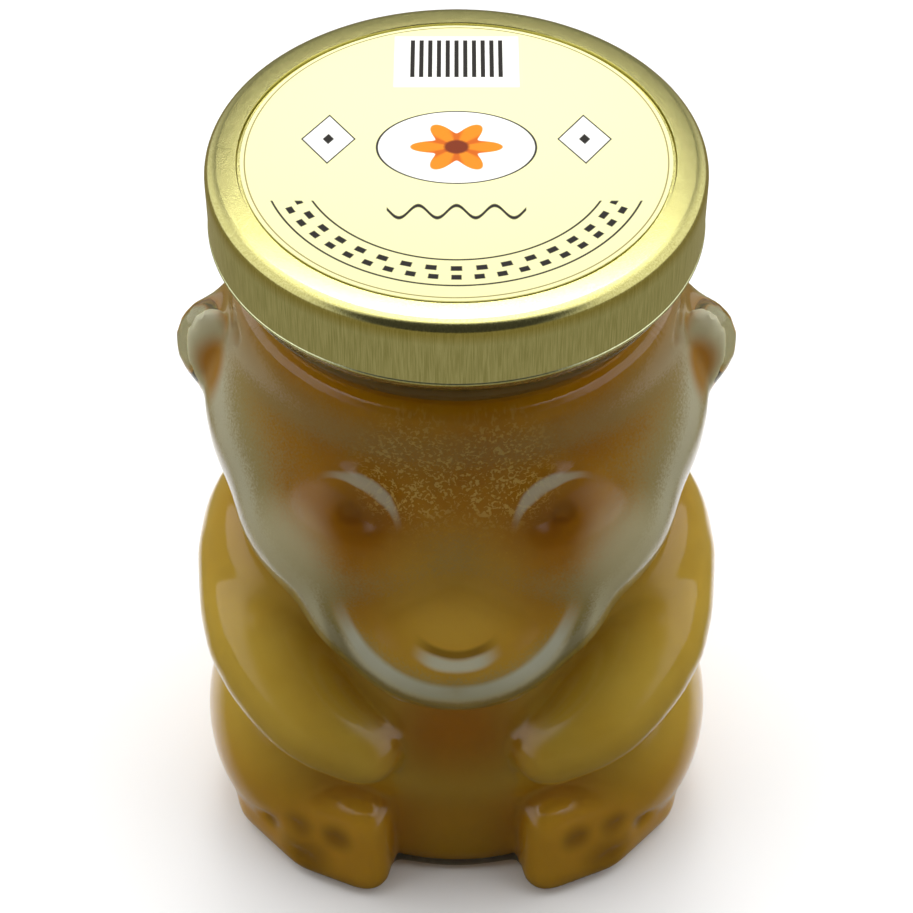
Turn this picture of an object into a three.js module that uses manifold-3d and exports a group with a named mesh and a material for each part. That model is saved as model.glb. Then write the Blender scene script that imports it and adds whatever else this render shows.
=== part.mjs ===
// Sitting-bear honey jar: moulded clear glass, set honey inside, a tinplate lid and a round paper label.
// Millimetres, +Z up, the bear faces -Y. The origin is at the middle of the base, on the table.
import * as THREE from "three";
import { mergeVertices } from "three/addons/utils/BufferGeometryUtils.js";
import Module from "manifold-3d";

const wasm = await Module();
wasm.setup();

// Driving dimensions
const jarHeight = 107;
const lidRadius = 30.5;
const lidHeight = 9.4;
const lidWall = 0.5;
const lidPanelDrop = 0.4;
const labelRadius = 26;
const labelThickness = 0.25;
const labelGap = 0.05;
const neckRadius = 27.4;
const boreRadius = 24.6;
const glassWall = 2.4;
const floorThickness = 2.4;
const shoulderHeight = 91.8;
const honeyLevel = 91.2;
const gap = 0.3;

// Places that follow from the driving dimensions
const lidBottom = jarHeight - lidHeight;
const panelTop = jarHeight - lidPanelDrop;
const mouthHeight = panelTop - lidWall - gap;

// Facets: how long an edge is on the outside and in the room for the honey, and the sides round a lump
const outsideFacet = 6.2;
const insideFacet = 12.5;
const fewestSides = 10;
const mostSides = 28;
const bodySides = 36;
const lidSides = 36;

// Lumps of the bear: centre, half sizes and turn in degrees. Each side lump is the one at -X, and is
// mirrored to the other side.
const middleLumps = {
  torso: { at: [0, 0.8, 23], half: [31.5, 31, 33] },
  skull: { at: [0, -1.2, 69], half: [32.9, 30.4, 25.5] },
  muzzle: { at: [0, -25, 56.8], half: [16.2, 15, 10.6], turn: [14, 0, 0] },
};
const sideLumps = {
  cheek: { at: [-8, -12, 64], half: [21, 21, 18.5] },
  shoulder: { at: [-22.4, -4, 41], half: [12.9, 17, 15.6] },
  thigh: { at: [-22, -9.3, 14.4], half: [13.5, 19, 18.4] },
};
// Small forms that only the outside of the glass shows
const middleMarks = {
  chin: { at: [0, -31.4, 49.4], half: [9.4, 6.6, 4.8] },
  nose: { at: [0, -36, 58.9], half: [5.4, 4, 2.6], turn: [20, 0, 0] },
};
const sideMarks = {
  lip: { at: [-4.6, -33.9, 53.2], half: [5.6, 5, 3.8], turn: [20, 0, 0] },
  ear: { at: [-29.7, 0.8, 73], half: [6.8, 5.1, 8.9], turn: [0, 0, -12] },
  earRoot: { at: [-27.2, 0.6, 78], half: [5.4, 4.8, 8] },
};
// Brow: a ring round the eye, tipped so that only its upper inner side stands out of the face
const brow = { at: [-12.2, -27, 72.2], facing: [-0.51, -0.85, 0.1], ringRadius: 5.8, tubeRadius: 1.4 };
const browSides = [6, 16];

// Arm: a tapered run of balls from the shoulder to the hand on the belly, centre and radius
const armBalls = [
  { at: [-25.5, -6, 42], radius: 10 },
  { at: [-25, -16.5, 37.5], radius: 9 },
  { at: [-19.5, -25.5, 32.5], radius: 7.2 },
  { at: [-12, -29, 28.6], radius: 5 },
];

// Foot: a hull round balls at the corners of its plan, whose sole looks forward and outwards
const footBall = 3.4;
const footInnerFront = [-12.5, -31];
const footMiddleFront = [-20.8, -27.4];
const footOuterFront = [-28.2, -19.6];
const footOuterBack = [-29, -6];
const footInnerBack = [-12.4, -8];
const footLow = 3.2;
const footHigh = 12.4;
const footLean = 1.6;

// Marks sunk into the glass: the eye, and toes and pad on the sole
const eyeMark = { at: [-12.8, -30.4, 74.6], half: [2.8, 2.6, 2.2] };
const soleMarkDepth = 0.8;
const soleMarkWidth = 2.2;
const soleMarkSides = [10, 6];
const soleMarks = [
  { along: 0.17, up: 10.4, half: [2.5, 1.7] },
  { along: 0.48, up: 10.4, half: [2.5, 1.7] },
  { along: 0.74, up: 7.6, half: [2.1, 1.6] },
  { along: 0.44, up: 4.9, half: [4.2, 2] },
];

// Turns a closed geometry into a solid that can be joined and cut
function toSolid(geometry) {
  const bare = geometry.clone();
  bare.deleteAttribute("normal");
  bare.deleteAttribute("uv");
  const merged = mergeVertices(bare, 1e-4);
  const vertProperties = new Float32Array(merged.attributes.position.array);
  const triVerts = new Uint32Array(merged.index.array);
  return new wasm.Manifold(new wasm.Mesh({ numProp: 3, vertProperties, triVerts }));
}

// Turns a solid back into a geometry
function toGeometry(solid) {
  const mesh = solid.getMesh();
  const points = new Float32Array(mesh.numVert * 3);
  for (let i = 0; i < mesh.numVert; i += 1) {
    for (let axis = 0; axis < 3; axis += 1) {
      points[i * 3 + axis] = mesh.vertProperties[i * mesh.numProp + axis];
    }
  }
  const geometry = new THREE.BufferGeometry();
  geometry.setAttribute("position", new THREE.BufferAttribute(points, 3));
  geometry.setIndex(new THREE.BufferAttribute(new Uint32Array(mesh.triVerts), 1));
  geometry.computeVertexNormals();
  return geometry;
}

function joined(parts) {
  return parts.reduce((sum, part) => sum.add(part));
}

function mirrored(solid) {
  return solid.add(solid.mirror([1, 0, 0]));
}

// Turns a geometry by degrees about X, then Y, then Z, and moves it
function place(geometry, at, turn = [0, 0, 0]) {
  const angles = turn.map(THREE.MathUtils.degToRad);
  const matrix = new THREE.Matrix4().makeRotationFromEuler(new THREE.Euler(...angles, "ZYX"));
  matrix.setPosition(...at);
  return geometry.applyMatrix4(matrix);
}

// An ellipsoid of a lump, smaller all round by inset. Its facets follow the full size, so that the honey's
// lie beside those of the room round it.
function ellipsoid({ at, half, turn }, inset = 0) {
  const sizes = half.map((value) => value - inset);
  const facet = inset > 0 ? insideFacet : outsideFacet;
  const girth = 2 * Math.PI * Math.max(...half);
  const sides = Math.min(mostSides, Math.max(fewestSides, Math.round(girth / facet / 2) * 2));
  const geometry = new THREE.SphereGeometry(1, sides, sides / 2);
  geometry.scale(...sizes);
  return toSolid(place(geometry, at, turn));
}

function ball(at, radius, inset = 0) {
  return ellipsoid({ at, half: [radius, radius, radius] }, inset);
}

// A solid turned round the Z axis from [radius, height] points, bottom first
function turned(profile, sides) {
  const points = profile.map(([radius, height]) => new THREE.Vector2(radius, height));
  const geometry = new THREE.LatheGeometry(points, sides);
  geometry.rotateX(Math.PI / 2);
  return toSolid(geometry);
}

// Profile points of a round from one direction to another, in degrees
function round(centreRadius, centreHeight, radius, from, to, steps) {
  const points = [];
  for (let i = 0; i <= steps; i += 1) {
    const angle = THREE.MathUtils.degToRad(from + ((to - from) * i) / steps);
    points.push([centreRadius + radius * Math.cos(angle), centreHeight + radius * Math.sin(angle)]);
  }
  return points;
}

// A block that keeps what lies between two heights
function slab(low, high) {
  const size = 160;
  const geometry = new THREE.BoxGeometry(size, size, high - low);
  geometry.translate(0, 0, (low + high) / 2);
  return toSolid(geometry);
}

// The round body that all lumps stand out of, from the base to the shoulder under the neck
function trunk(inset) {
  return turned([
    [0, inset],
    [29 - inset, inset],
    [30.1 - inset, 1.2 + inset],
    [29.4 - inset, 12],
    [26.6 - inset, 50],
    [28.5 - inset, 84],
    [28.2 - inset, 90.4],
    [27.2 - inset, shoulderHeight],
    [0, shoulderHeight],
  ], bodySides);
}

// Arm as a chain of hulls, each round two balls
function arm(inset) {
  const pieces = [];
  for (let i = 0; i + 1 < armBalls.length; i += 1) {
    const ends = [armBalls[i], armBalls[i + 1]].map(({ at, radius }) => ball(at, radius, inset));
    pieces.push(wasm.Manifold.hull(ends));
  }
  return joined(pieces);
}

// The three corners of the sole lean back at the top, and the two behind them stand in the thigh
function foot(inset) {
  const radius = Math.max(footBall - inset, 1);
  const back = inset - (footBall - radius);
  const balls = [];
  for (const [x, y] of [footInnerFront, footMiddleFront, footOuterFront]) {
    balls.push(ball([x, y + back, footLow + back], radius));
    balls.push(ball([x, y + back + footLean, footHigh - back], radius));
  }
  for (const [x, y] of [footOuterBack, footInnerBack]) {
    balls.push(ball([x, y, footLow + back], radius));
    balls.push(ball([x, y, footHigh - back], radius));
  }
  return wasm.Manifold.hull(balls);
}

// The bear's form without its small marks, smaller all round by inset
function bear(inset) {
  const middle = Object.values(middleLumps).map((lump) => ellipsoid(lump, inset));
  const sides = Object.values(sideLumps).map((lump) => mirrored(ellipsoid(lump, inset)));
  return joined([trunk(inset), ...middle, ...sides, mirrored(arm(inset)), mirrored(foot(inset))]);
}

function browRing() {
  const geometry = new THREE.TorusGeometry(brow.ringRadius, brow.tubeRadius, ...browSides);
  const facing = new THREE.Vector3(...brow.facing).normalize();
  const turn = new THREE.Quaternion().setFromUnitVectors(new THREE.Vector3(0, 0, 1), facing);
  geometry.applyQuaternion(turn);
  return toSolid(place(geometry, brow.at));
}

// Chin, nose, lips, ears and brows
function marks() {
  const middle = Object.values(middleMarks).map((lump) => ellipsoid(lump));
  const sides = Object.values(sideMarks).map((lump) => mirrored(ellipsoid(lump)));
  return joined([...middle, ...sides, mirrored(browRing())]);
}

// A place on the sole's face at a share of the way from its inner to its outer corner, and how far it is
// turned about Z
function soleSpot(along, up) {
  const corners = [footInnerFront, footMiddleFront, footOuterFront].map((p) => new THREE.Vector2(...p));
  const runs = [corners[1].clone().sub(corners[0]), corners[2].clone().sub(corners[1])];
  const first = along < 0.5 ? 0 : 1;
  const centre = corners[first].clone().addScaledVector(runs[first], 2 * along - first);
  const heading = THREE.MathUtils.lerp(runs[0].angle(), runs[1].angle(), along);
  const outwards = new THREE.Vector2(-Math.sin(heading), Math.cos(heading));
  const lean = (footLean * (up - footLow)) / (footHigh - footLow);
  centre.addScaledVector(outwards, footBall);
  return { at: [centre.x, centre.y + lean, up], outwards, heading };
}

// Toes and pad sunk into the sole
function soleHollows() {
  const hollows = soleMarks.map(({ along, up, half }) => {
    const { at, outwards, heading } = soleSpot(along, up);
    const geometry = new THREE.SphereGeometry(1, ...soleMarkSides);
    geometry.scale(half[0], soleMarkWidth, half[1]);
    const out = soleMarkWidth - soleMarkDepth;
    const centre = [at[0] + outwards.x * out, at[1] + outwards.y * out, at[2]];
    return toSolid(place(geometry, centre, [0, 0, THREE.MathUtils.radToDeg(heading)]));
  });
  return joined(hollows);
}

// Neck finish: a plain ring up to the mouth with one bead below the lid
function neck() {
  const beadRadius = 1.2;
  const beadHeight = 94.4;
  const lip = 0.8;
  return turned([
    [0, shoulderHeight - 4],
    [neckRadius, shoulderHeight - 4],
    ...round(neckRadius - 0.2, beadHeight, beadRadius, -75, 75, 4),
    [neckRadius, mouthHeight - lip],
    [neckRadius - lip, mouthHeight],
    [0, mouthHeight],
  ], lidSides);
}

function jarOutside() {
  const whole = joined([bear(0), marks(), neck()]);
  const hollows = joined([mirrored(ellipsoid(eyeMark)), mirrored(soleHollows())]);
  return whole.subtract(hollows).intersect(slab(0, mouthHeight));
}

// The room inside the glass, from the floor through the open mouth, smaller all round by extra
function jarInside(extra) {
  const past = 2;
  const body = bear(glassWall + extra).intersect(slab(floorThickness + extra, shoulderHeight));
  const bore = turned([
    [0, shoulderHeight - 20],
    [boreRadius - extra, shoulderHeight - 20],
    [boreRadius - extra, mouthHeight + past],
    [0, mouthHeight + past],
  ], bodySides);
  return body.add(bore);
}

// Twist lid: a cup with a rounded shoulder, a slightly sunk panel and a rolled hem at the bottom
function lidShell() {
  const shoulder = 1.6;
  const hem = 0.75;
  const inner = lidRadius - lidWall;
  return turned([
    [0, panelTop - lidWall],
    [inner - shoulder, panelTop - lidWall],
    [inner, jarHeight - shoulder - lidWall],
    [inner, lidBottom + 2 * hem + 0.4],
    [inner - hem, lidBottom + 2 * hem],
    [inner - hem, lidBottom],
    ...round(lidRadius - hem, lidBottom + hem, hem, -90, 30, 4),
    [lidRadius, lidBottom + 2 * hem + 0.4],
    ...round(lidRadius - shoulder, jarHeight - shoulder, shoulder, 0, 90, 5),
    [labelRadius + 1.4, jarHeight],
    [labelRadius + 0.8, panelTop],
    [0, panelTop],
  ], lidSides);
}

function labelDisc() {
  const low = panelTop + labelGap;
  const high = low + labelThickness;
  return turned([[0, low], [labelRadius, low], [labelRadius, high], [0, high]], lidSides);
}

function part(name, solid, look) {
  const mesh = new THREE.Mesh(toGeometry(solid), new THREE.MeshStandardMaterial(look));
  mesh.name = name;
  return mesh;
}

const glass = jarOutside().subtract(jarInside(0));
const fill = jarInside(gap).intersect(slab(0, honeyLevel));

const jar = new THREE.Group();
jar.add(part("glass_jar", glass, { color: "#c9ccb8", roughness: 0.08, metalness: 0 }));
jar.add(part("honey", fill, { color: "#8a6a1c", roughness: 0.5, metalness: 0 }));
jar.add(part("lid", lidShell(), { color: "#a9a56a", roughness: 0.3, metalness: 1 }));
jar.add(part("lid_label", labelDisc(), { color: "#ffffba", roughness: 0.6, metalness: 0 }));
export default jar;
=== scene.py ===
"""Sitting-bear honey jar: a moulded glass bear full of set honey, a gold twist lid and a round label."""
import math

import bpy
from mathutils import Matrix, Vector


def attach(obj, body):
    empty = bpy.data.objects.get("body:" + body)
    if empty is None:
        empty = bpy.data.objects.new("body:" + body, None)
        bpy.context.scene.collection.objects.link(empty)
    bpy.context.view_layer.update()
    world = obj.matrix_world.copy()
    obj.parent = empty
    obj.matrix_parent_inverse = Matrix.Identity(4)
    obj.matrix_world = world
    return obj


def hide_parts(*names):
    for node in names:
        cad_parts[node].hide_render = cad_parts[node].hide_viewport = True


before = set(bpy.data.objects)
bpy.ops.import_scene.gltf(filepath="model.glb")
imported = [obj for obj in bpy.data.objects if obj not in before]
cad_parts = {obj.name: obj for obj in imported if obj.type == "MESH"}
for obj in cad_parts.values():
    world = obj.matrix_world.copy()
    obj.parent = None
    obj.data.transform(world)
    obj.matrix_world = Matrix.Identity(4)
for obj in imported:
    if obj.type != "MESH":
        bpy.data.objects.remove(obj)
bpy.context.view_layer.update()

# Everything below is in millimetres until MM turns it into metres
MM = 0.001

# Driving dimensions. The honey's level and the walls of floor, feet, arms and ears differ from the solids'.
JAR_HEIGHT = 107
LID_RADIUS = 30.5
LID_HEIGHT = 9.4
LID_WALL = 0.5
LID_SHOULDER = 1.6
LID_HEM = 0.3
LID_PANEL_DROP = 0.4
LABEL_RADIUS = 26
LABEL_THICKNESS = 0.25
LABEL_GAP = 0.05
NECK_RADIUS = 27.4
BORE_RADIUS = 24.6
GLASS_WALL = 2.4
FLOOR_THICKNESS = 0.8
FOOT_WALL = 0.9
ARM_WALL = 1.8
EAR_WALL = 1.7
SHOULDER_HEIGHT = 91.8
MOUTH_HEIGHT = 105.8
HONEY_LEVEL = 90.4
HONEY_INTO_WALL = 0.06
LID_BOTTOM = JAR_HEIGHT - LID_HEIGHT
PANEL_TOP = JAR_HEIGHT - LID_PANEL_DROP

# Mesh fineness: voxels of the body, of its small marks and of the room inside, and sides of round forms
BODY_VOXEL = 0.9
MARK_VOXEL = 0.75
ROOM_VOXEL = 1.0
LUMP_SEGMENTS = 48
ROUND_SIDES = 144

# How many times each skin is smoothed, and what the first smoothing takes off and is given back
MELT_PASSES = 40
ROUND_PASSES = 6
MARK_PASSES = 5
ROOM_PASSES = 10
SKIN_GAIN = 0.22

# Trunk: radius and height of each turn of its outline
TRUNK_PROFILE = (
    (29, 0),
    (30.1, 1.2),
    (29.4, 12),
    (28, 31),
    (26.6, 50),
    (27.5, 67),
    (28.5, 84),
    (28.2, 90.4),
    (27.2, SHOULDER_HEIGHT),
)

# Lumps of the bear: centre, half sizes and turn in degrees. Side lumps are those at -X and are mirrored.
MIDDLE_LUMPS = {
    "torso": {"at": (0, 0.8, 23), "half": (31.5, 31, 33)},
    "skull": {"at": (0, -1.2, 69), "half": (32.9, 30.4, 25.5)},
    "muzzle": {"at": (0, -25.1, 54.8), "half": (17, 14.9, 11.5), "turn": (20, 0, 0)},
}
SIDE_LUMPS = {
    "cheek": {"at": (-8, -12, 64), "half": (21, 21, 18.5)},
    "jowl": {"at": (-8.8, -22.3, 55.6), "half": (11.8, 12.6, 10.8)},
    "shoulder": {"at": (-22.4, -4, 41), "half": (12.9, 17, 15.6)},
    "thigh": {"at": (-22, -9.3, 14.4), "half": (13.5, 19, 18.4)},
}
# Ears are lobes, with room for honey in them
EAR = {"at": (-29.5, 0.4, 74.5), "half": (6.8, 3.4, 9.2), "turn": (0, -12, 0)}
EAR_ROOT = {"at": (-27.2, 0.6, 78), "half": (5.4, 4, 8)}
# Small forms that only the outside of the glass shows
CHIN = {"at": (0, -31.4, 49.4), "half": (9.4, 6.6, 4.8)}
NOSE_BALLS = (
    ((-5.2, -36, 58.3), 1),
    ((-2.6, -37.1, 56.8), 1.7),
    ((2.6, -37.1, 56.8), 1.7),
    ((5.2, -36, 58.3), 1),
)
LIP_BALLS = (
    ((-15.4, -24.5, 54.6), 1.3),
    ((-13.5, -28.4, 51.7), 1.8),
    ((-11, -31.5, 48.9), 1.8),
    ((-6.8, -34.4, 47.8), 1.8),
    ((-2, -35.8, 48.4), 1.5),
)
BROW_BALLS = (
    ((-15, -24.6, 79), 0.9),
    ((-11.3, -26.8, 79), 1.5),
    ((-8.7, -28.1, 77.5), 1.5),
    ((-6.8, -29.3, 74.6), 0.9),
)
EYE = {"at": (-12.6, -30.8, 74.4), "half": (3.2, 2.4, 2.4)}

# Arm: balls from the shoulder to the hand, centre and radius, and steps of the curve between two of them
ARM_BALLS = (
    ((-25.5, -6, 42), 10),
    ((-25, -16.5, 37.5), 9),
    ((-19.5, -25.5, 32.5), 7.2),
    ((-12.4, -28.7, 28.3), 5.5),
)
ARM_STEPS = 3

# Foot: balls at the corners of its plan, whose sole looks forward and outwards
FOOT_BALL = 3.4
FOOT_LEAST_BALL = 1
FOOT_FRONT = ((-12.5, -31), (-20.8, -27.4), (-28.2, -19.6))
FOOT_BACK = ((-29, -6), (-12.4, -8))
FOOT_LOW = 3.2
FOOT_HIGH = 12.4
FOOT_LEAN = 1.6

# Toes and pad sunk into the sole: share of the way along it, height, half width and half height
SOLE_MARK_DEPTH = 0.8
SOLE_MARK_WIDTH = 2.2
SOLE_MARKS = (
    (0.17, 10.4, 2.5, 1.7),
    (0.48, 10.4, 2.5, 1.7),
    (0.74, 7.6, 2.1, 1.6),
    (0.44, 4.9, 4.2, 2.0),
)

# Round zones of the honey's colour: centre, where the colour is full and where it ends. Some of them are
# painted shade and painted light, as said above each.
# Painted shade on the belly, under the head and arms
BELLY_SHADE = {"centre": (0, -31, 31), "core": 4, "edge": 14}
# Painted highlight on the snout
SNOUT_HIGHLIGHT = {"centre": (0, -34, 64), "core": 4, "edge": 14}
# Painted shade in the eye sockets
EYE_SOCKET_SHADE = {"centre": EYE["at"], "core": 1.5, "edge": 9.5}
# Painted sheen on the cheeks
CHEEK_SHEEN = {"centre": (-20, -25, 65), "core": 2, "edge": 9}
FOREHEAD = {"centre": (-5, -28, 80.5), "core": 4, "edge": 10}
NOSE_BRIDGE = {"centre": (0, -33, 68), "core": 4, "edge": 12}
# Painted light in the ear tips, for the light through their clear glass
EAR_TIP_LIGHT = {"centre": (-35, 0, 76), "core": 6, "edge": 9.5}
EAR_HOLLOW = {"centre": (-30, -3, 74.5), "core": 2, "edge": 5.5}

# Arcs drawn on the face, all painted light and shade: the eyes' deepest shade, highlights along brows, nose
# and lips, and shade lines over the nose and under the lips. Places are given to the side and down along
# FACE_FALL, and length and width are measured from the arc's middle.
FACE_FALL = (0, -0.719, -0.695)
# Painted shade, deepest in the middle of each eye socket
EYE_DEEPEST_SHADE = {"centre": (-12.9, -31.4), "radius": 0.6, "middle": (-12.9, -31.4), "length": 4, "width": 1.1}
# Painted highlight along the brow
BROW = {"centre": (-14.5, -28.5), "radius": 7.7, "middle": (-10.2, -34.8), "length": 6.8, "width": 0.45}
NOSE = {"centre": (0, -20.4), "radius": 8.1, "middle": (0, -12.3), "length": 6.1, "width": 0.72}
# Painted shade line over the nose
NOSE_SHADE_LINE = {"centre": (0, -20.4), "radius": 6.9, "middle": (0, -13.5), "length": 6, "width": 0.6}
LIPS = {"centre": (0, -24), "radius": 14.8, "middle": (-7.5, -11.25), "length": 13, "width": 0.75}
# Painted shade line under the lips
SHADE_UNDER_LIPS = {"centre": (0, -24), "radius": 16.4, "middle": (-9.5, -10.6), "length": 14, "width": 0.7}

# Inks of the label
INK = "201c18"
WHITE = "fdfdf6"
PETAL = "f08a10"
PETAL_VEIN = "c04a00"
HEART = "7c2c00"
EDGE_RING = "8c7c40"
# Middle of the blossom and its oval on the label
BLOSSOM_PLACE = (0, 1.5, 0)
PETALS = 6

# Table top: how far the lit sheet reaches, from a place behind the jar's middle
TABLE_WHITE = "f8f8f8"
TABLE_DIM = "82795a"
SHEET_MIDDLE = (0, 30, 0)
SHEET_FULL = 48
SHEET_END = 64

# Camera: its place, how far it looks down, and the photograph's scale
CAMERA_PLACE = (0, -233, 296)
CAMERA_PITCH = 46
FOCAL_PIXELS = 2480
FRAME_PIXELS = 913
SENSOR_WIDTH = 36

# Light of the studio: strength, and from which angle off its middle each zone fades in and is full
WALL_LIGHT = 0.28
CEILING = {"towards": (0, 0, 1), "strength": 2.95, "start": 47, "end": 42}
WINDOW = {"towards": (0, 0.623, 0.782), "strength": 7.5, "start": 12, "end": 6}
LEFT_SIDE = {"towards": (-0.94, 0.15, 0.3), "strength": 1.3, "start": 66, "end": 10}
RIGHT_SIDE = {"towards": (0.94, 0.15, 0.3), "strength": 1.3, "start": 66, "end": 10}
DARK_FRONT = {"towards": (0, -0.84805, 0.52992), "strength": 0.06, "start": 56, "end": 34}


def choose(*pieces):
    """Selects these objects alone and makes the last one active."""
    bpy.ops.object.select_all(action="DESELECT")
    for piece in pieces:
        piece.select_set(True)
    bpy.context.view_layer.objects.active = pieces[-1]


def in_metres(point):
    return tuple(value * MM for value in point)


def settled(piece):
    """Puts a piece's place, turn and size into its mesh."""
    choose(piece)
    bpy.ops.object.transform_apply(location=True, rotation=True, scale=True)
    return piece


def joined(pieces):
    choose(*pieces)
    bpy.ops.object.join()
    return bpy.context.object


def applied(piece, kind, **settings):
    """Adds a modifier to a piece, sets it and applies it."""
    choose(piece)
    bpy.ops.object.modifier_add(type=kind)
    modifier = piece.modifiers[-1]
    for name, value in settings.items():
        setattr(modifier, name, value)
    bpy.ops.object.modifier_apply(modifier=modifier.name)
    return piece


def twin(piece):
    """A mirrored copy of a piece at +X."""
    choose(piece)
    bpy.ops.object.duplicate()
    copy = bpy.context.object
    copy.scale = (-1, 1, 1)
    settled(copy)
    bpy.ops.object.mode_set(mode="EDIT")
    bpy.ops.mesh.select_all(action="SELECT")
    bpy.ops.mesh.normals_make_consistent(inside=False)
    bpy.ops.object.mode_set(mode="OBJECT")
    return copy


def both_sides(pieces):
    """Pieces at -X with their mirrored copies."""
    return pieces + [twin(piece) for piece in pieces]


def blended(piece, voxel, passes):
    """Melts overlapping lumps into one skin and rounds the creases between them."""
    applied(piece, "REMESH", mode="VOXEL", voxel_size=voxel * MM)
    return applied(piece, "SMOOTH", factor=0.5, iterations=passes)


def combined(piece, tool, operation):
    """Joins, cuts or crosses a piece with a tool, and removes the tool."""
    applied(piece, "BOOLEAN", object=tool, operation=operation, solver="MANIFOLD")
    bpy.data.objects.remove(tool)
    return piece


def united(pieces):
    """One skin round several overlapping pieces."""
    for piece in pieces[1:]:
        combined(pieces[0], piece, "UNION")
    return pieces[0]


def lump(at, half, turn=(0, 0, 0), inset=0):
    """An egg-shaped start for a form of the bear, smaller all round by inset."""
    bpy.ops.object.select_all(action="DESELECT")
    bpy.ops.mesh.primitive_uv_sphere_add(
        segments=LUMP_SEGMENTS,
        ring_count=LUMP_SEGMENTS // 2,
        radius=1,
        location=in_metres(at),
        rotation=tuple(math.radians(angle) for angle in turn),
        scale=in_metres([value - inset for value in half]),
    )
    return settled(bpy.context.object)


def ball(at, radius):
    return lump(at, (radius, radius, radius))


def hull(pieces):
    """Stretches one skin round several lumps."""
    piece = joined(pieces)
    bpy.ops.object.mode_set(mode="EDIT")
    bpy.ops.mesh.select_all(action="SELECT")
    bpy.ops.mesh.convex_hull()
    bpy.ops.object.mode_set(mode="OBJECT")
    return piece


def curved(balls, steps):
    """More balls on one smooth curve through the given ones, so that a chain of them bends softly."""
    spots = [Vector((*centre, radius)) for centre, radius in balls]
    spots = [spots[0], *spots, spots[-1]]
    more = []
    for before, start, end, after in zip(spots, spots[1:], spots[2:], spots[3:]):
        for i in range(steps):
            share = i / steps
            slope = (end - before) * share
            bend = (2 * before - 5 * start + 4 * end - after) * share ** 2
            turn = (3 * start - before - 3 * end + after) * share ** 3
            more.append(start + (slope + bend + turn) / 2)
    more.append(spots[-1])
    return [(spot[:3], spot[3]) for spot in more]


def chain(balls, inset=0):
    """Hulls in a row, each round two balls given as centre and radius."""
    pieces = []
    for (start, first), (end, second) in zip(balls, balls[1:]):
        pieces.append(hull([ball(start, first - inset), ball(end, second - inset)]))
    return united(pieces)


def drawn_up(name, profile, sides=ROUND_SIDES):
    """A round form from a disc, whose face is extruded and resized to each radius and height of a profile."""
    radius, height = profile[0]
    bpy.ops.object.select_all(action="DESELECT")
    bpy.ops.mesh.primitive_circle_add(
        vertices=sides, radius=radius * MM, fill_type="NGON", location=(0, 0, height * MM)
    )
    piece = settled(bpy.context.object)
    piece.name = name
    bpy.ops.object.mode_set(mode="EDIT")
    bpy.ops.mesh.select_all(action="SELECT")
    for next_radius, next_height in profile[1:]:
        bpy.ops.mesh.extrude_region_move(
            TRANSFORM_OT_translate={"value": (0, 0, (next_height - height) * MM)}
        )
        share = next_radius / radius
        bpy.ops.transform.resize(value=(share, share, 1), center_override=(0, 0, next_height * MM))
        radius, height = next_radius, next_height
    bpy.ops.mesh.select_all(action="SELECT")
    bpy.ops.mesh.normals_make_consistent(inside=False)
    bpy.ops.object.mode_set(mode="OBJECT")
    return piece


def arc(centre_radius, centre_height, radius, start, end, steps):
    """Profile points of a round from one direction to another, in degrees."""
    points = []
    for i in range(steps + 1):
        angle = math.radians(start + (end - start) * i / steps)
        points.append((centre_radius + radius * math.cos(angle), centre_height + radius * math.sin(angle)))
    return points


def slab(low, high):
    """A block, wider than the jar, that keeps what lies between two heights."""
    width = 160
    bpy.ops.object.select_all(action="DESELECT")
    bpy.ops.mesh.primitive_cube_add(size=1, location=(0, 0, (low + high) / 2 * MM))
    piece = bpy.context.object
    piece.scale = in_metres((width, width, high - low))
    return settled(piece)


def trunk(inset):
    """The round body that all lumps stand out of, from the base to the shoulder under the neck."""
    low = FLOOR_THICKNESS if inset else 0
    foot_turns = [(radius - inset, height + low) for radius, height in TRUNK_PROFILE[:2]]
    turns = [(radius - inset, height) for radius, height in TRUNK_PROFILE[2:]]
    return drawn_up("trunk", foot_turns + turns, LUMP_SEGMENTS)


def foot(inset):
    """The corners of the sole lean back at the top, and the two behind them stand in the thigh."""
    inset = min(inset, FOOT_WALL)
    radius = max(FOOT_BALL - inset, FOOT_LEAST_BALL)
    back = inset - (FOOT_BALL - radius)
    balls = []
    for x, y in FOOT_FRONT:
        balls.append(ball((x, y + back, FOOT_LOW + back), radius))
        balls.append(ball((x, y + back + FOOT_LEAN, FOOT_HIGH - back), radius))
    for x, y in FOOT_BACK:
        balls.append(ball((x, y, FOOT_LOW + back), radius))
        balls.append(ball((x, y, FOOT_HIGH - back), radius))
    return hull(balls)


def bear(inset):
    """The bear's form without its small marks: soft joins first, then arms, feet and ears."""
    soft = both_sides([lump(inset=inset, **form) for form in SIDE_LUMPS.values()])
    middle = [lump(inset=inset, **form) for form in MIDDLE_LUMPS.values()]
    body = blended(united([trunk(inset)] + soft + middle), BODY_VOXEL, MELT_PASSES)
    applied(body, "DISPLACE", strength=SKIN_GAIN * MM, mid_level=0)
    arm = chain(curved(ARM_BALLS, ARM_STEPS), min(inset, ARM_WALL))
    ear = lump(inset=min(inset, EAR_WALL), **EAR)
    limbs = both_sides([arm, foot(inset), ear])
    return united([body] + limbs)


def sole_spot(along, up):
    """A place on the sole at a share of the way along it, the way it faces, and its turn about Z."""
    corners = [Vector(corner) for corner in FOOT_FRONT]
    runs = [corners[1] - corners[0], corners[2] - corners[1]]
    first = 0 if along < 0.5 else 1
    centre = corners[first] + runs[first] * (2 * along - first)
    headings = [math.atan2(run.y, run.x) % (2 * math.pi) for run in runs]
    heading = headings[0] + (headings[1] - headings[0]) * along
    outwards = Vector((-math.sin(heading), math.cos(heading)))
    lean = FOOT_LEAN * (up - FOOT_LOW) / (FOOT_HIGH - FOOT_LOW)
    centre += outwards * FOOT_BALL
    return Vector((centre.x, centre.y + lean)), outwards, heading


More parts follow.
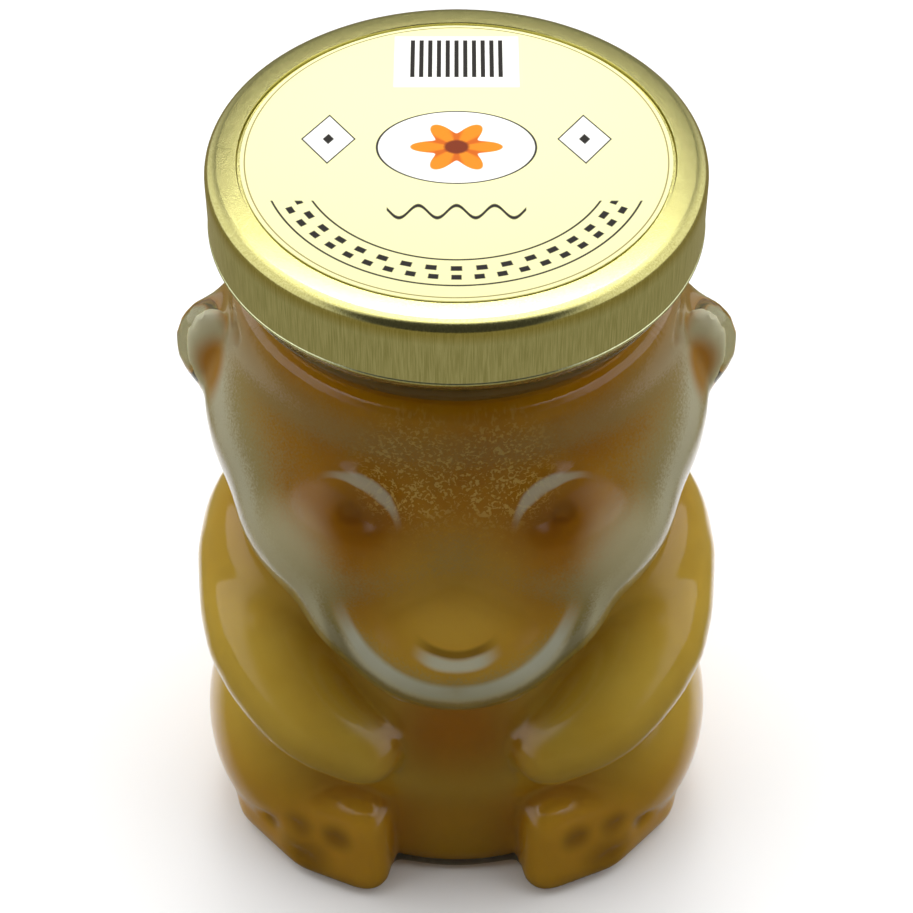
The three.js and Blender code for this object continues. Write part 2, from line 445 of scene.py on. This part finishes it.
def sunk_marks(eye_grown=0, sole_grown=0):
    """Eyes, toes and pads, to be cut out of the glass, or larger all round out of the honey behind it."""
    marks = [lump(inset=-eye_grown, **EYE)]
    for along, up, half_width, half_height in SOLE_MARKS:
        spot, outwards, heading = sole_spot(along, up)
        spot += outwards * (SOLE_MARK_WIDTH - SOLE_MARK_DEPTH)
        marks.append(lump(
            (spot.x, spot.y, up),
            (half_width, SOLE_MARK_WIDTH, half_height),
            (0, 0, math.degrees(heading)),
            -sole_grown,
        ))
    return united(both_sides(marks))


def neck():
    """Neck finish: a plain ring up to the mouth, with one bead below the lid and a groove under the bead."""
    bead_radius = 1.2
    bead_height = 94.4
    bead_inset = 0.2
    lip = 0.8
    groove = 1.2
    groove_top = 0.4
    root = 4
    return drawn_up("neck", (
        (NECK_RADIUS - groove, SHOULDER_HEIGHT - root),
        (NECK_RADIUS - groove, SHOULDER_HEIGHT + groove_top),
        *arc(NECK_RADIUS - bead_inset, bead_height, bead_radius, -75, 75, 12),
        (NECK_RADIUS, MOUTH_HEIGHT - lip),
        *arc(NECK_RADIUS - lip, MOUTH_HEIGHT - lip, lip, 15, 90, 5),
    ))


def jar_outside():
    """The glass from outside: body with ears and chin, then lips, nose and brows, then the sunk marks."""
    top = SHOULDER_HEIGHT - 1.2
    body = united([bear(0), lump(**CHIN)] + both_sides([lump(**EAR_ROOT)]))
    body = blended(body, BODY_VOXEL, ROUND_PASSES)
    body = united([body, chain(NOSE_BALLS)] + both_sides([chain(LIP_BALLS), chain(BROW_BALLS)]))
    body = combined(body, sunk_marks(), "DIFFERENCE")
    body = combined(body, slab(0, top), "INTERSECT")
    body = blended(body, MARK_VOXEL, MARK_PASSES)
    return combined(body, neck(), "UNION")


def room():
    """The room inside the glass, from its floor up through the open mouth."""
    past_mouth = 6
    bore_depth = 20
    top = HONEY_LEVEL - 2.6
    eye_grown = 2
    sole_grown = 0.6
    bore = drawn_up("bore", (
        (BORE_RADIUS, SHOULDER_HEIGHT - bore_depth),
        (BORE_RADIUS, MOUTH_HEIGHT + past_mouth),
    ))
    body = combined(bear(GLASS_WALL), slab(FLOOR_THICKNESS, top), "INTERSECT")
    body = combined(body, sunk_marks(eye_grown, sole_grown), "DIFFERENCE")
    return blended(united([body, bore]), ROOM_VOXEL, ROOM_PASSES)


def jar_and_honey():
    """The glass jar, and the honey that fills it up to its level and reaches just into the wall."""
    inside = room()
    honey = inside.copy()
    honey.data = inside.data.copy()
    bpy.context.scene.collection.objects.link(honey)
    applied(honey, "DISPLACE", strength=HONEY_INTO_WALL * MM, mid_level=0)
    combined(honey, slab(0, HONEY_LEVEL), "INTERSECT")
    glass = combined(jar_outside(), inside, "DIFFERENCE")
    glass.name = "bear_glass"
    honey.name = "set_honey"
    return glass, honey


def twist_lid():
    """A cup with a rounded shoulder, a slightly sunk panel and a rolled hem at the bottom."""
    inner = LID_RADIUS - LID_WALL
    skirt = LID_RADIUS - 0.12
    hem_top = LID_BOTTOM + 2 * LID_HEM
    panel_rim = LABEL_RADIUS + 0.5
    panel_edge = LABEL_RADIUS + 0.35
    return drawn_up("twist_lid", (
        (inner - LID_SHOULDER, PANEL_TOP - LID_WALL),
        *arc(inner - LID_SHOULDER, JAR_HEIGHT - LID_SHOULDER - LID_WALL, LID_SHOULDER, 90, 0, 6)[1:],
        (inner, hem_top + 0.4),
        (inner - LID_HEM, hem_top),
        (inner - LID_HEM, LID_BOTTOM + LID_HEM),
        *arc(LID_RADIUS - LID_HEM, LID_BOTTOM + LID_HEM, LID_HEM, -150, 50, 14),
        (skirt, hem_top + 0.3),
        *arc(skirt - LID_SHOULDER, JAR_HEIGHT - LID_SHOULDER, LID_SHOULDER, 0, 90, 12),
        (panel_rim, JAR_HEIGHT),
        (panel_edge, PANEL_TOP),
    ))


def label_disc():
    """A round paper label with a cut edge, stuck flat on the lid."""
    cut = 0.05
    top_cut = 0.06
    low = PANEL_TOP + LABEL_GAP
    high = low + LABEL_THICKNESS
    return drawn_up("label_disc", (
        (LABEL_RADIUS - cut, low),
        (LABEL_RADIUS, low + cut),
        (LABEL_RADIUS, high - cut),
        (LABEL_RADIUS - top_cut, high),
    ))


def linear(code):
    """An sRGB hex colour as linear light."""
    values = [int(code[i:i + 2], 16) / 255 for i in (0, 2, 4)]
    light = [v / 12.92 if v <= 0.04045 else ((v + 0.055) / 1.055) ** 2.4 for v in values]
    return (*light, 1.0)


def add(tree, kind, inputs=None, **settings):
    """Adds a node. Its inputs are values, sockets, or nodes, whose first output is linked."""
    made = tree.nodes.new(kind)
    for name, value in settings.items():
        setattr(made, name, value)
    for name, value in (inputs or {}).items():
        if isinstance(value, bpy.types.Node):
            value = value.outputs[0]
        if isinstance(value, bpy.types.NodeSocket):
            tree.links.new(value, made.inputs[name])
        else:
            made.inputs[name].default_value = value
    return made


def material(name):
    """An empty material with its shader and the piece's own coordinates in millimetres."""
    made = bpy.data.materials.new(name)
    made.use_nodes = True
    tree = made.node_tree
    tree.nodes.clear()
    output = tree.nodes.new("ShaderNodeOutputMaterial")
    shader = tree.nodes.new("ShaderNodeBsdfPrincipled")
    tree.links.new(shader.outputs[0], output.inputs["Surface"])
    place = add(tree, "ShaderNodeTexCoord").outputs["Object"]
    millimetres = add(tree, "ShaderNodeVectorMath", {0: place, 3: 1 / MM}, operation="SCALE")
    return made, tree, shader, millimetres


def overlap(tree, *masks):
    """One where all masks meet. A mask is a number or a value from 0 to 1."""
    share = masks[0]
    for mask in masks[1:]:
        share = add(tree, "ShaderNodeMath", {0: share, 1: mask}, operation="MULTIPLY")
    return share


def tinted(tree, under, over, *masks):
    """Lays one colour over another, as thick as all its masks let it."""
    share = overlap(tree, *masks)
    return add(tree, "ShaderNodeMix", {0: share, 6: under, 7: over}, data_type="RGBA").outputs[2]


def moulded_soda_lime_glass():
    """Clear pressed glass: a satin skin with slow waves from the mould, and a green tint in its depth."""
    made, tree, shader, millimetres = material("moulded soda-lime glass")
    shader.inputs["Base Color"].default_value = linear("fbfdf8")
    shader.inputs["Transmission Weight"].default_value = 1
    shader.inputs["Roughness"].default_value = 0.11
    shader.inputs["IOR"].default_value = 1.5
    wave_size = 9
    waves = add(tree, "ShaderNodeTexNoise", {"Vector": millimetres, "Scale": 1 / wave_size, "Detail": 1})
    bump = add(tree, "ShaderNodeBump", {"Height": waves, "Strength": 0.25, "Distance": 0.4 * MM})
    tree.links.new(bump.outputs[0], shader.inputs["Normal"])
    tint = add(tree, "ShaderNodeVolumeAbsorption", {"Color": linear("c4d6a8"), "Density": 40})
    output = next(node for node in tree.nodes if node.type == "OUTPUT_MATERIAL")
    tree.links.new(tint.outputs[0], output.inputs["Volume"])
    return made


def folded_sideways(tree, place):
    """A place with both sides of the bear folded onto -X, so that one mask serves both."""
    parts = add(tree, "ShaderNodeSeparateXYZ", {0: place})
    side = add(tree, "ShaderNodeMath", {0: parts.outputs["X"]}, operation="ABSOLUTE")
    side = add(tree, "ShaderNodeMath", {0: side, 1: -1}, operation="MULTIPLY")
    return add(tree, "ShaderNodeCombineXYZ", {0: side, 1: parts.outputs["Y"], 2: parts.outputs["Z"]})


def soft_ball(tree, place, centre, core, edge):
    """One inside a round zone of the honey, falling softly to nothing at its edge."""
    distance = add(tree, "ShaderNodeVectorMath", {0: place, 1: centre}, operation="DISTANCE")
    return add(
        tree,
        "ShaderNodeMapRange",
        {0: distance.outputs["Value"], 1: edge, 2: core},
        interpolation_type="SMOOTHSTEP",
    )


def stroke(tree, place, centre, radius, middle, length, width):
    """One along an arc on the front of the head, softly edged and fading at both ends."""
    front_start, front_full = -18, -20
    parts = add(tree, "ShaderNodeSeparateXYZ", {0: place})
    fall = add(tree, "ShaderNodeVectorMath", {0: place, 1: FACE_FALL}, operation="DOT_PRODUCT")
    spot = add(tree, "ShaderNodeCombineXYZ", {0: parts.outputs["X"], 1: fall.outputs["Value"]})
    distance = add(tree, "ShaderNodeVectorMath", {0: spot, 1: (*centre, 0)}, operation="DISTANCE")
    off_arc = add(tree, "ShaderNodeMath", {0: distance.outputs["Value"], 1: radius}, operation="SUBTRACT")
    off_arc = add(tree, "ShaderNodeMath", {0: off_arc}, operation="ABSOLUTE")
    along = add(tree, "ShaderNodeVectorMath", {0: spot, 1: (*middle, 0)}, operation="DISTANCE")
    line = add(
        tree,
        "ShaderNodeMapRange",
        {0: off_arc, 1: width * 1.4, 2: width * 0.4},
        interpolation_type="SMOOTHSTEP",
    )
    ends = add(
        tree,
        "ShaderNodeMapRange",
        {0: along.outputs["Value"], 1: length, 2: length * 0.4},
        interpolation_type="SMOOTHSTEP",
    )
    front = add(tree, "ShaderNodeMapRange", {0: parts.outputs["Y"], 1: front_start, 2: front_full})
    return overlap(tree, line, ends, front)


def honey_body(tree, place, height):
    """Pale in the chest and deep amber in the head, with painted shade on the belly under the head and arms,
    golden in the lap, and painted shade in the sunk toes and pads.
    """
    chest, muzzle = 40, 66
    lap_top, lap_full = 24, 12
    upper = add(
        tree, "ShaderNodeMapRange", {0: height, 1: chest, 2: muzzle}, interpolation_type="SMOOTHSTEP"
    )
    lap = add(
        tree,
        "ShaderNodeMapRange",
        {0: height, 1: lap_top, 2: lap_full, 3: 0, 4: 0.8},
        interpolation_type="SMOOTHSTEP",
    )
    amber = tinted(tree, linear("ffd65c"), linear("d48a00"), upper)
    # Painted shade on the belly, where the head and arms shade it
    amber = tinted(tree, amber, linear("e89600"), soft_ball(tree, place, **BELLY_SHADE))
    amber = tinted(tree, amber, linear("f6b428"), lap)
    # Painted shade in the sunk toes and pads
    for along, up, half_width, half_height in SOLE_MARKS:
        spot = sole_spot(along, up)[0]
        dent_shade = soft_ball(tree, place, (spot.x, spot.y, up), half_height * 0.6, half_width * 1.4)
        amber = tinted(tree, amber, linear("a06c00"), dent_shade, 0.7)
    return amber


def honey_clouds(tree, amber, millimetres):
    """Slow clouds, where the honey set at different times."""
    cloud_size = 14
    clouds = add(tree, "ShaderNodeTexNoise", {"Vector": millimetres, "Scale": 1 / cloud_size, "Detail": 3})
    cloudy = add(tree, "ShaderNodeMapRange", {0: clouds, 1: 0.4, 2: 0.75, 3: 0, 4: 0.45})
    return tinted(tree, amber, linear("eab430"), cloudy)


def honey_face(tree, amber, place):
    """A painted highlight on the snout, and painted shade in the eye sockets, darkest in their middle."""
    # Painted highlight on the snout
    amber = tinted(tree, amber, linear("f2c252"), soft_ball(tree, place, **SNOUT_HIGHLIGHT), 0.85)
    # Painted shade in the eye sockets, deepest in their middle
    amber = tinted(tree, amber, linear("904c00"), soft_ball(tree, place, **EYE_SOCKET_SHADE), 0.75)
    return tinted(tree, amber, linear("703c00"), stroke(tree, place, **EYE_DEEPEST_SHADE), 0.35)


def honey_crystals(tree, amber, place, millimetres, grain):
    """Pale crystals on the forehead, drawn coarser than real to show, and fine speckles between the eyes."""
    fleck_size = 0.5
    flecks = add(
        tree,
        "ShaderNodeTexNoise",
        {"Vector": millimetres, "Scale": 1 / fleck_size, "Detail": 1, "Distortion": 0.9},
    )
    crystals = add(tree, "ShaderNodeMapRange", {0: flecks, 1: 0.56, 2: 0.59})
    speckles = add(tree, "ShaderNodeMapRange", {0: grain, 1: 0.58, 2: 0.7, 3: 0, 4: 0.55})
    amber = tinted(tree, amber, linear("ffd478"), crystals, soft_ball(tree, place, **FOREHEAD))
    return tinted(tree, amber, linear("f4c650"), speckles, soft_ball(tree, place, **NOSE_BRIDGE))


def facing_front_and_up(tree, grain):
    """One where the honey faces front and up, less where it turns away, roughened by its grain."""
    front_above = (0, -0.69, 0.72)
    normal = add(tree, "ShaderNodeNewGeometry").outputs["Normal"]
    facing = add(tree, "ShaderNodeVectorMath", {0: normal, 1: front_above}, operation="DOT_PRODUCT")
    grainy = add(tree, "ShaderNodeMapRange", {0: grain, 3: -0.12, 4: 0.12})
    return add(tree, "ShaderNodeMath", {0: facing.outputs["Value"], 1: grainy}, operation="ADD")


def painted_sheen_zone(tree, place):
    """One on the front of the head, above the shoulders and below the lid, where the sheen is painted."""
    parts = add(tree, "ShaderNodeSeparateXYZ", {0: place})
    side, depth, height = parts.outputs["X"], parts.outputs["Y"], parts.outputs["Z"]
    shoulders = add(tree, "ShaderNodeMapRange", {0: side, 1: -17, 2: -24, 3: 0, 4: 9})
    over_arms = add(tree, "ShaderNodeMath", {0: height, 1: shoulders}, operation="SUBTRACT")
    on_head = add(tree, "ShaderNodeMapRange", {0: over_arms, 1: 46, 2: 51, 3: 0, 4: 0.95})
    below_lid = add(tree, "ShaderNodeMapRange", {0: height, 1: 88, 2: 76, 3: 0.2, 4: 1})
    in_front = add(tree, "ShaderNodeMapRange", {0: depth, 1: 12, 2: -2}, interpolation_type="SMOOTHSTEP")
    return overlap(tree, on_head, below_lid, in_front)


def painted_sheen(tree, amber, place, grain):
    """A painted silvery sheen round the face, for the reflections of the thick glass there, with a brighter
    painted streak.
    """
    facing = facing_front_and_up(tree, grain)
    sheen_share = add(
        tree, "ShaderNodeMapRange", {0: facing, 1: 0.85, 2: 0.55}, interpolation_type="SMOOTHSTEP"
    )
    sheen_streak_facing = 0.36
    sheen_streak = add(tree, "ShaderNodeMath", {0: facing, 1: sheen_streak_facing}, operation="SUBTRACT")
    sheen_streak = add(tree, "ShaderNodeMath", {0: sheen_streak}, operation="ABSOLUTE")
    sheen_streak = add(
        tree, "ShaderNodeMapRange", {0: sheen_streak, 1: 0.22, 2: 0.04}, interpolation_type="SMOOTHSTEP"
    )
    # Painted sheen: silver, with a brighter painted streak
    sheen_silver = tinted(tree, linear("d0bf90"), linear("fffaec"), sheen_streak)
    amber = tinted(tree, amber, sheen_silver, sheen_share, painted_sheen_zone(tree, place))
    # Painted sheen on the cheeks
    return tinted(tree, amber, linear("fbf0d4"), soft_ball(tree, place, **CHEEK_SHEEN), 0.75)


def honey_ridges(tree, amber, place):
    """Painted highlights along the ridges of lips, brows and nose, with painted shade lines under the lips
    and over the nose.
    """
    painted_highlight = linear("fbf8ee")
    # Painted shade line under the lips, then painted highlights on lips and brows
    amber = tinted(tree, amber, linear("7c6c38"), stroke(tree, place, **SHADE_UNDER_LIPS), 0.7)
    amber = tinted(tree, amber, linear("ffffff"), stroke(tree, place, **LIPS))
    amber = tinted(tree, amber, painted_highlight, stroke(tree, place, **BROW), 0.7)
    # Painted shade line over the nose, then a painted highlight on the nose
    amber = tinted(tree, amber, linear("8c6414"), stroke(tree, place, **NOSE_SHADE_LINE), 0.7)
    return tinted(tree, amber, painted_highlight, stroke(tree, place, **NOSE), 0.95)


def honey_ears(tree, amber, place):
    """Ear tips painted pale, for the light through their clear glass, with an orange hollow at their roots.
    """
    amber = tinted(tree, amber, linear("f0ead0"), soft_ball(tree, place, **EAR_TIP_LIGHT))
    return tinted(tree, amber, linear("dc9424"), soft_ball(tree, place, **EAR_HOLLOW))


def set_creamed_honey():
    """Opaque crystallised honey, matt against the glass: amber with clouds and crystals, and painted shade,
    painted highlights and a painted silvery sheen.
    """
    made, tree, shader, millimetres = material("set creamed honey")
    place = folded_sideways(tree, millimetres)
    height = add(tree, "ShaderNodeSeparateXYZ", {0: millimetres}).outputs["Z"]
    grain_size = 0.3
    grain = add(tree, "ShaderNodeTexNoise", {"Vector": millimetres, "Scale": 1 / grain_size, "Detail": 2})
    amber = honey_body(tree, place, height)
    amber = honey_clouds(tree, amber, millimetres)
    amber = honey_face(tree, amber, place)
    amber = honey_crystals(tree, amber, place, millimetres, grain)
    amber = painted_sheen(tree, amber, place, grain)
    amber = honey_ridges(tree, amber, place)
    amber = honey_ears(tree, amber, place)
    tree.links.new(amber, shader.inputs["Base Color"])
    shader.inputs["Roughness"].default_value = 0.5
    shader.inputs["Specular IOR Level"].default_value = 0
    return made


def brushed_gold_tinplate():
    """Tinplate brushed, then lacquered gold: a soft metal shine broken by fine brush marks."""
    made, tree, shader, millimetres = material("brushed gold lacquered tinplate")
    shader.inputs["Metallic"].default_value = 1
    mark_width = 0.14
    mark_length = 4
    stretched = add(
        tree,
        "ShaderNodeVectorMath",
        {0: millimetres, 1: (1 / mark_width, 1 / mark_width, 1 / mark_length)},
        operation="MULTIPLY",
    )
    marks = add(tree, "ShaderNodeTexNoise", {"Vector": stretched, "Scale": 1, "Detail": 2})
    worn = add(tree, "ShaderNodeMapRange", {0: marks, 1: 0.35, 2: 0.65})
    top = tinted(tree, linear("bcb670"), linear("d0ca88"), worn)
    # Painted light: the upright skirt gets a paler, brighter gold than the top, so that it shows lighter
    skirt = tinted(tree, linear("ccd0a0"), linear("ecf0c8"), worn)
    height = add(tree, "ShaderNodeSeparateXYZ", {0: millimetres}).outputs["Z"]
    on_skirt = add(tree, "ShaderNodeMapRange", {0: height, 1: JAR_HEIGHT - 1.5, 2: JAR_HEIGHT - 3})
    tree.links.new(tinted(tree, top, skirt, on_skirt), shader.inputs["Base Color"])
    roughness = add(tree, "ShaderNodeMapRange", {0: marks, 3: 0.12, 4: 0.24})
    tree.links.new(roughness.outputs[0], shader.inputs["Roughness"])
    bump = add(tree, "ShaderNodeBump", {"Height": marks, "Strength": 0.3, "Distance": 0.02 * MM})
    tree.links.new(bump.outputs[0], shader.inputs["Normal"])
    return made


def within(tree, value, centre, half, edge=0.06):
    """One where a value lies less than half away from a centre, with a thin soft edge."""
    offset = add(tree, "ShaderNodeMath", {0: value, 1: centre}, operation="SUBTRACT")
    offset = add(tree, "ShaderNodeMath", {0: offset}, operation="ABSOLUTE")
    return add(tree, "ShaderNodeMapRange", {0: offset, 1: half + edge, 2: half - edge})


def oval_reach(tree, place, centre, stretch):
    """Offset and distance from a centre on the label, with each direction stretched by its own share."""
    offset = add(tree, "ShaderNodeVectorMath", {0: place, 1: centre}, operation="SUBTRACT")
    offset = add(tree, "ShaderNodeVectorMath", {0: offset, 1: stretch}, operation="MULTIPLY")
    return offset, add(tree, "ShaderNodeVectorMath", {0: offset}, operation="LENGTH").outputs["Value"]


def to_and_fro(tree, value, turns, height=1):
    """Runs from height to its negative and back as the value grows."""
    phase = add(tree, "ShaderNodeMath", {0: value, 1: turns}, operation="MULTIPLY")
    wave = add(tree, "ShaderNodeMath", {0: phase}, operation="COSINE")
    return add(tree, "ShaderNodeMath", {0: wave, 1: height}, operation="MULTIPLY")


def striped_field(tree, colour, x, y):
    """A white field at the back of the label, with upright stripes."""
    period = 1.1
    field = within(tree, x, 0, 7.8), within(tree, y, 18.4, 5.2)
    block = within(tree, x, 0, 6.3), within(tree, y, 19, 3.8)
    runs = to_and_fro(tree, x, 2 * math.pi / period)
    stripes = add(tree, "ShaderNodeMapRange", {0: runs, 1: -0.15, 2: 0.15})
    colour = tinted(tree, colour, linear(WHITE), *field)
    return tinted(tree, colour, linear(INK), stripes, *block)


def blossom(tree, colour, flat):
    """A white oval with a thin outline, round a flower of veined petals with a dark heart."""
    oval_radius = 9.6
    oval = oval_reach(tree, flat, BLOSSOM_PLACE, (1, 1.4, 0))[1]
    colour = tinted(tree, colour, linear(WHITE), within(tree, oval, 0, oval_radius))
    colour = tinted(tree, colour, linear(INK), within(tree, oval, oval_radius, 0.14))
    offset, distance = oval_reach(tree, flat, BLOSSOM_PLACE, (1, 1.15, 0))
    parts = add(tree, "ShaderNodeSeparateXYZ", {0: offset})
    angle = add(tree, "ShaderNodeMath", {0: parts.outputs["Y"], 1: parts.outputs["X"]}, operation="ARCTAN2")
    lobes = to_and_fro(tree, angle, PETALS, 1.3)
    edge = add(tree, "ShaderNodeMath", {0: distance, 1: lobes}, operation="SUBTRACT")
    petals = within(tree, edge, 0, 4.3, 0.1)
    veins = add(tree, "ShaderNodeMapRange", {0: lobes, 1: 0.2, 2: -1, 3: 0, 4: 0.7})
    colour = tinted(tree, colour, linear(PETAL), petals)
    colour = tinted(tree, colour, linear(PETAL_VEIN), petals, veins)
    return tinted(tree, colour, linear(HEART), within(tree, distance, 0, 1.5, 0.2))


def lozenge(tree, colour, x, y, sideways):
    """A white lozenge with a thin outline and a small dark one in its middle."""
    half = 3.2
    side = add(tree, "ShaderNodeMath", {0: x, 1: sideways}, operation="SUBTRACT")
    side = add(tree, "ShaderNodeMath", {0: side}, operation="ABSOLUTE")
    up = add(tree, "ShaderNodeMath", {0: y, 1: 3}, operation="SUBTRACT")
    up = add(tree, "ShaderNodeMath", {0: up}, operation="ABSOLUTE")
    up = add(tree, "ShaderNodeMath", {0: up, 1: 0.7}, operation="MULTIPLY")
    distance = add(tree, "ShaderNodeMath", {0: side, 1: up}, operation="ADD")
    colour = tinted(tree, colour, linear(WHITE), within(tree, distance, 0, half))
    colour = tinted(tree, colour, linear(INK), within(tree, distance, half, 0.12))
    return tinted(tree, colour, linear(INK), within(tree, distance, 0, 0.7))


def dotted_arcs(tree, colour, y, radius, angle):
    """Two thin arcs along the front edge with two rows of dots between them."""
    below = add(tree, "ShaderNodeMapRange", {0: y, 1: -8.4, 2: -8.6})
    for ring in (19, 23.4):
        colour = tinted(tree, colour, linear(INK), below, within(tree, radius, ring, 0.13))
    for ring, turns in ((20.5, 44), (22, 52)):
        dots = add(tree, "ShaderNodeMapRange", {0: to_and_fro(tree, angle, turns), 1: 0, 2: 0.3})
        colour = tinted(tree, colour, linear(INK), below, dots, within(tree, radius, ring, 0.42))
    return colour


def wavy_line(tree, colour, x, y):
    """A wavy line under the blossom."""
    offset = add(tree, "ShaderNodeMath", {0: y, 1: to_and_fro(tree, x, 1.4, 1.1)}, operation="SUBTRACT")
    line = within(tree, offset, -10.5, 0.32, 0.12)
    return tinted(tree, colour, linear(INK), line, within(tree, x, 0, 8.2))


def printed_paper():
    """Pale yellow uncoated paper with fine fibres, printed in black, white and amber."""
    made, tree, shader, millimetres = material("printed paper")
    flat = add(tree, "ShaderNodeVectorMath", {0: millimetres, 1: (1, 1, 0)}, operation="MULTIPLY")
    parts = add(tree, "ShaderNodeSeparateXYZ", {0: flat})
    x, y = parts.outputs["X"], parts.outputs["Y"]
    radius = add(tree, "ShaderNodeVectorMath", {0: flat}, operation="LENGTH").outputs["Value"]
    angle = add(tree, "ShaderNodeMath", {0: x, 1: y}, operation="ARCTAN2")
    colour = striped_field(tree, linear("fdfabb"), x, y)
    colour = blossom(tree, colour, flat)
    for sideways in (-15.5, 15.5):
        colour = lozenge(tree, colour, x, y, sideways)
    colour = dotted_arcs(tree, colour, y, radius, angle)
    colour = wavy_line(tree, colour, x, y)
    colour = tinted(tree, colour, linear(EDGE_RING), within(tree, radius, 25.45, 0.08))
    tree.links.new(colour, shader.inputs["Base Color"])

    fibre_size = 0.35
    fibres = add(
        tree,
        "ShaderNodeTexNoise",
        {"Vector": millimetres, "Scale": 1 / fibre_size, "Detail": 3, "Distortion": 1.5},
    )
    bump = add(tree, "ShaderNodeBump", {"Height": fibres, "Strength": 0.2, "Distance": 0.03 * MM})
    tree.links.new(bump.outputs[0], shader.inputs["Normal"])
    shader.inputs["Roughness"].default_value = 0.7
    shader.inputs["Specular IOR Level"].default_value = 0.3
    return made


def dress(piece, node_name, look):
    """Gives a piece its material, and its place in the frame of the part."""
    choose(piece)
    piece.data.materials.clear()
    piece.data.materials.append(look)
    bpy.ops.object.shade_smooth_by_angle(angle=math.radians(40))
    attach(piece, "root")
    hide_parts(node_name)


def camera():
    """Looks down on the face from the front, as close as the photograph was taken."""
    data = bpy.data.cameras.new("camera")
    data.sensor_width = SENSOR_WIDTH
    data.lens = FOCAL_PIXELS / FRAME_PIXELS * SENSOR_WIDTH
    data.clip_start = 10 * MM
    eye = bpy.data.objects.new("camera", data)
    eye.location = in_metres(CAMERA_PLACE)
    eye.rotation_euler = (math.radians(90 - CAMERA_PITCH), 0, 0)
    bpy.context.scene.collection.objects.link(eye)
    bpy.context.scene.camera = eye


def matt_table():
    """Matt white to the eye. The jar mirrors it white only near by, as on a lit sheet in a darker room."""
    look = bpy.data.materials.new("matt white table")
    look.use_nodes = True
    tree = look.node_tree
    tree.nodes.clear()
    place = add(tree, "ShaderNodeTexCoord").outputs["Object"]
    offset = add(tree, "ShaderNodeVectorMath", {0: place, 1: in_metres(SHEET_MIDDLE)}, operation="SUBTRACT")
    wide = add(tree, "ShaderNodeVectorMath", {0: offset, 1: (0.7, 1, 1)}, operation="MULTIPLY")
    distance = add(tree, "ShaderNodeVectorMath", {0: wide}, operation="LENGTH").outputs["Value"]
    sheet = add(tree, "ShaderNodeMapRange", {0: distance, 1: SHEET_END * MM, 2: SHEET_FULL * MM})
    mirrored = tinted(tree, linear(TABLE_DIM), linear(TABLE_WHITE), sheet)
    seen = add(tree, "ShaderNodeLightPath").outputs["Is Camera Ray"]
    colour = tinted(tree, mirrored, linear(TABLE_WHITE), seen)
    matt = add(tree, "ShaderNodeBsdfDiffuse", {"Color": colour})
    output = add(tree, "ShaderNodeOutputMaterial")
    tree.links.new(matt.outputs[0], output.inputs["Surface"])
    return look


def floor():
    """A plain white table."""
    bpy.ops.object.select_all(action="DESELECT")
    bpy.ops.mesh.primitive_plane_add(size=4)
    table = bpy.context.object
    table.name = "table_top"
    table.data.materials.append(matt_table())


def with_zone(tree, under, direction, towards, strength, start, end):
    """Lays a soft round zone of light over what is under it. Angles off its middle are in degrees."""
    nearness = add(tree, "ShaderNodeVectorMath", {0: direction, 1: towards}, operation="DOT_PRODUCT")
    edge, core = math.cos(math.radians(start)), math.cos(math.radians(end))
    share = add(
        tree,
        "ShaderNodeMapRange",
        {0: nearness.outputs["Value"], 1: edge, 2: core},
        interpolation_type="SMOOTHSTEP",
    )
    return add(tree, "ShaderNodeMix", {0: share, 2: under, 3: strength}, data_type="FLOAT")


def studio():
    """Soft light from a wide ceiling with a window in it, dimmer walls, and a dark zone high in front."""
    world = bpy.data.worlds.new("soft studio")
    bpy.context.scene.world = world
    world.use_nodes = True
    tree = world.node_tree
    tree.nodes.clear()
    direction = add(tree, "ShaderNodeTexCoord").outputs["Generated"]
    strength = WALL_LIGHT
    for zone in (CEILING, WINDOW, LEFT_SIDE, RIGHT_SIDE, DARK_FRONT):
        strength = with_zone(tree, strength, direction, **zone)
    light = add(tree, "ShaderNodeBackground", {"Color": (1, 1, 1, 1), "Strength": strength})
    output = add(tree, "ShaderNodeOutputWorld")
    tree.links.new(light.outputs[0], output.inputs["Surface"])
    bpy.context.scene.view_settings.view_transform = "Standard"


camera()
floor()
studio()
glass, honey = jar_and_honey()
dress(glass, "glass_jar", moulded_soda_lime_glass())
dress(honey, "honey", set_creamed_honey())
dress(twist_lid(), "lid", brushed_gold_tinplate())
dress(label_disc(), "lid_label", printed_paper())
